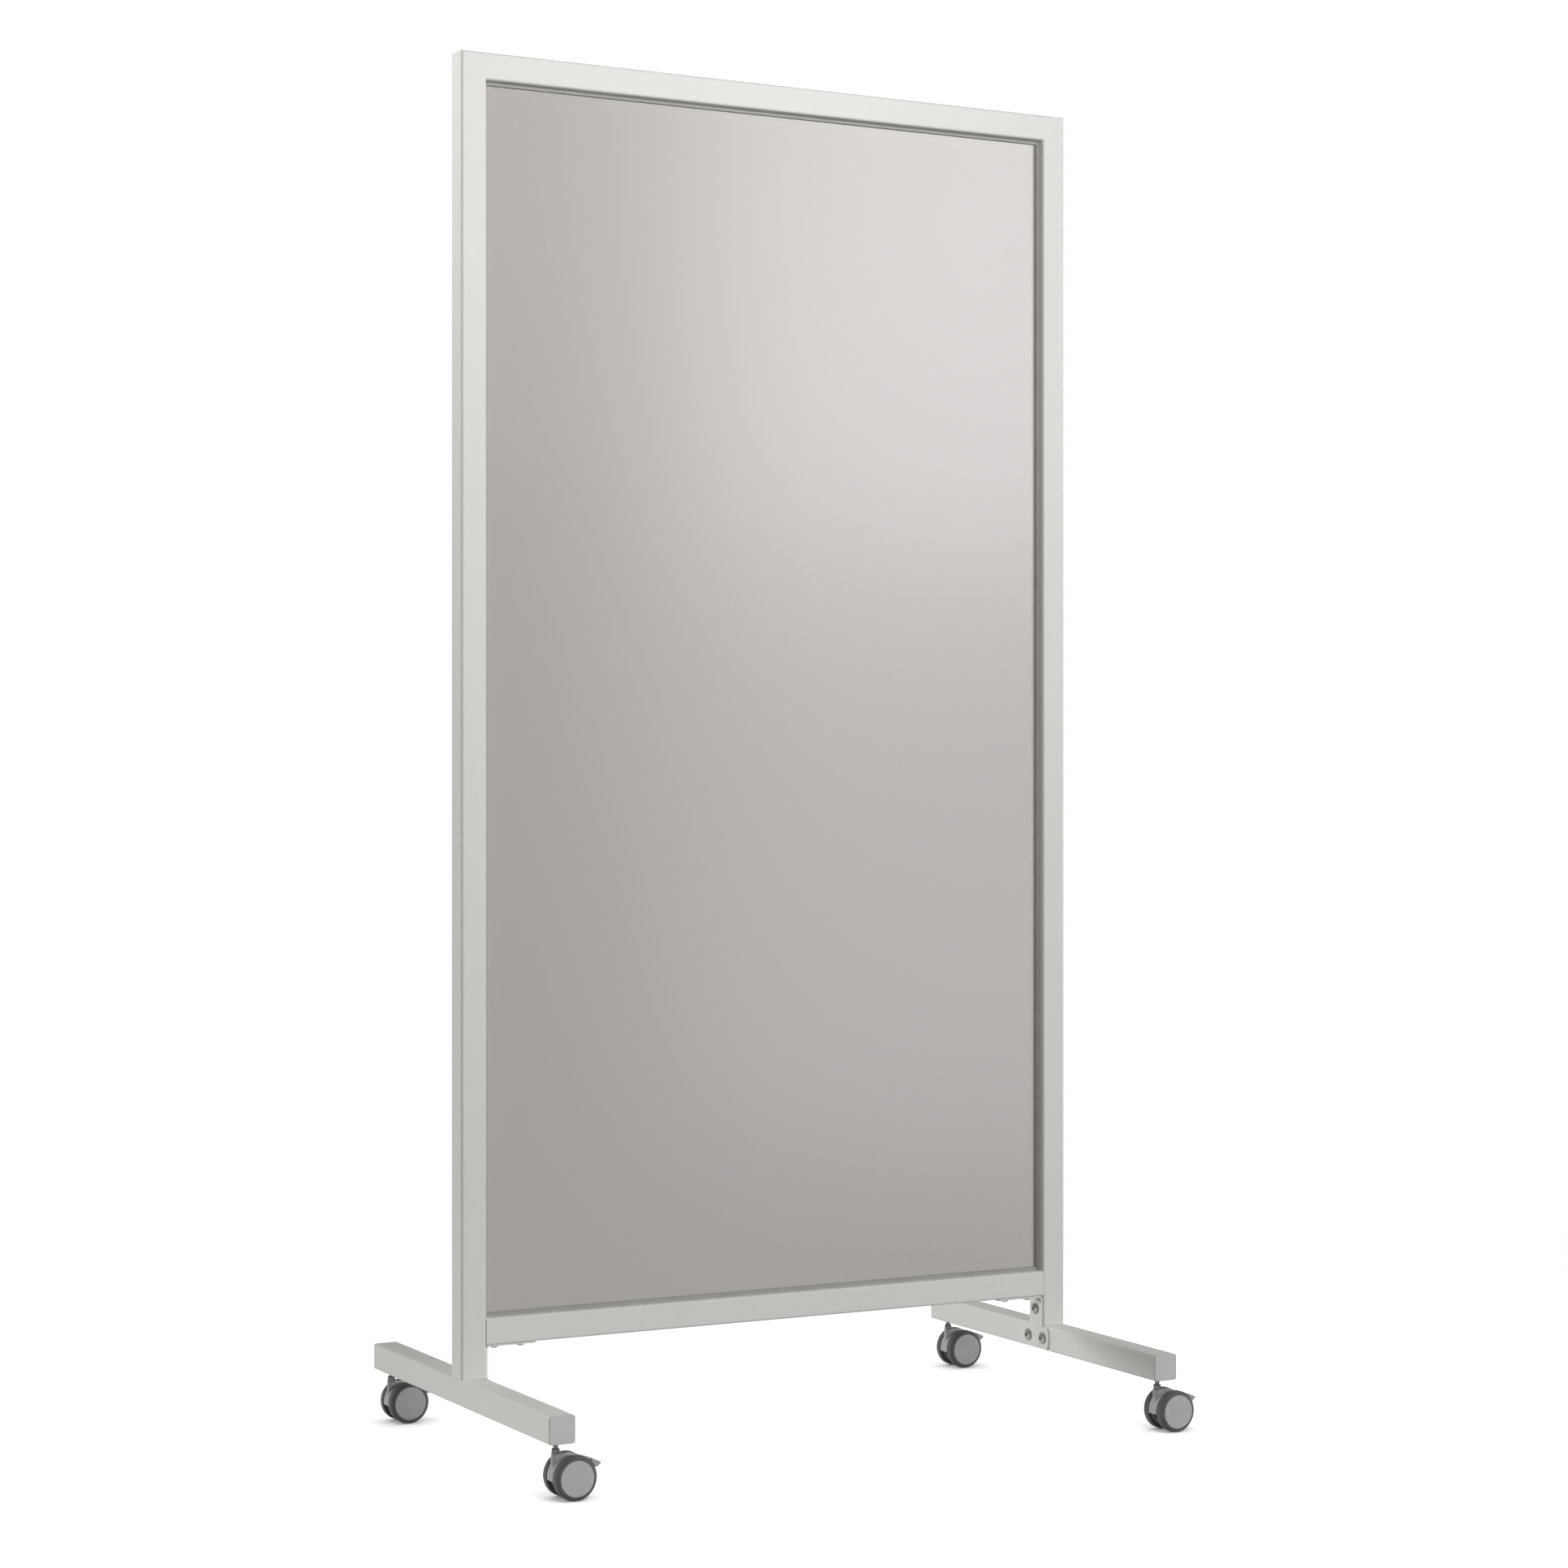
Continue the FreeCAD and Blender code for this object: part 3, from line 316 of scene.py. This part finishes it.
AMBIENT = 0.02
MIRRORED_LOW = 1.0
MIRRORED_HIGH = 0.65
HORIZON_LOW = -0.1
HORIZON_HIGH = 0.2
world = bpy.data.worlds.new("surround")
bpy.context.scene.world = world
world.use_nodes = True
world_tree = world.node_tree
backdrop = world_tree.nodes["Background"]
backdrop.inputs["Color"].default_value = (1.0, 1.0, 1.0, 1.0)
way = Shade(world_tree, world_tree.nodes.new("ShaderNodeTexCoord").outputs["Generated"])
seen = way.node("ShaderNodeLightPath", output="Is Camera Ray")
glossy = way.node("ShaderNodeLightPath", output="Is Glossy Ray")
passed = way.node("ShaderNodeLightPath", output="Is Transmission Ray")
mirrored = way.math("MAXIMUM", glossy, passed)
upward = way.node("ShaderNodeSeparateXYZ", {}, {"Vector": way}, output="Z")
surround = MIRRORED_LOW - (MIRRORED_LOW - MIRRORED_HIGH) * upward.between(HORIZON_LOW, HORIZON_HIGH)
strength = AMBIENT + (1.0 - AMBIENT) * seen + (surround - AMBIENT) * mirrored
world_tree.links.new(strength.socket, backdrop.inputs["Strength"])


def floor_disc(radius, rings, sides):
    """A disc on the floor: points at radius times share, turned round the origin."""
    share = np.linspace(0.0, 1.0, rings + 1)[1:, None]
    turn = np.linspace(0.0, 2.0 * np.pi, sides, endpoint=False)[None, :]
    across = radius * share * np.cos(turn)
    along = radius * share * np.sin(turn)
    grid = np.stack([across, along, np.zeros_like(across)], axis=-1)
    points = np.concatenate([np.zeros((1, 3)), grid.reshape(-1, 3)])
    index = np.arange(rings * sides).reshape(rings, sides) + 1
    onward = np.roll(index, -1, axis=1)
    inner = np.stack([np.zeros(sides, int), index[0], onward[0]], axis=-1)
    quads = np.stack([index[:-1], index[1:], onward[1:], onward[:-1]], axis=-1).reshape(-1, 4)
    mesh = bpy.data.meshes.new("floor")
    mesh.from_pydata(points.tolist(), [], inner.tolist() + quads.tolist())
    floor = bpy.data.objects.new("floor", mesh)
    bpy.context.scene.collection.objects.link(floor)
    return floor


def grey(level):
    """A grey of that much linear light."""
    return (level, level, level, 1.0)


FLOOR_RADIUS = 2.6
FLOOR_GLOW = 0.76
FLOOR_GRAIN = 40.0
FLOOR_UNSEEN = grey(0.40)
FLOOR_DEEP = grey(0.89)
FLOOR_LIGHT = grey(0.91)
SHADOW_REACH = 0.08
FADE_START = 0.9
FADE_END = 2.2
floor = floor_disc(FLOOR_RADIUS, 8, 64)
floor_paint, floor_spot, feed = new_finish("floor_pale", Roughness=0.9, Emission_Strength=FLOOR_GLOW)
floor_seen = floor_spot.node("ShaderNodeLightPath", output="Is Camera Ray")
floor_glossy = floor_spot.node("ShaderNodeLightPath", output="Is Glossy Ray")
floor_passed = floor_spot.node("ShaderNodeLightPath", output="Is Transmission Ray")
floor_mirrored = floor_spot.math("MAXIMUM", floor_glossy, floor_passed)
# Ambient occlusion darkens the floor's glow near the object: a painted contact shadow under the casters
# and feet.
painted_contact_shadow = floor_spot.node(
    "ShaderNodeAmbientOcclusion", {"samples": 8}, {"Distance": SHADOW_REACH}, output="Color")
grain = floor_spot.noise(FLOOR_GRAIN)
reach = floor_spot.node("ShaderNodeVectorMath", {"operation": "LENGTH"}, {0: floor_spot}, output="Value")
feed(
    Base_Color=floor_seen.mix(FLOOR_UNSEEN, grain.mix(FLOOR_DEEP, FLOOR_LIGHT)),
    Emission_Color=(floor_seen + floor_mirrored).mix(grey(0.0), painted_contact_shadow),
    Alpha=1.0 - reach.between(FADE_START, FADE_END),
)
floor.data.materials.append(floor_paint)


# Camera: level, a little below the middle of the board and to the left of it,
# with a long lens, so that the board stands as in the photograph.

camera_data = bpy.data.cameras.new("camera")
camera_data.sensor_width = 36.0
camera_data.lens = 75.07
camera_data.shift_y = -0.00489
camera = bpy.data.objects.new("camera", camera_data)
bpy.context.scene.collection.objects.link(camera)
camera.location = (-2.2624, -4.2454, 0.9567)
camera.rotation_euler = (math.radians(90.0), 0.0, math.radians(-28.269))
bpy.context.scene.camera = camera
bpy.context.scene.view_settings.view_transform = "Standard"
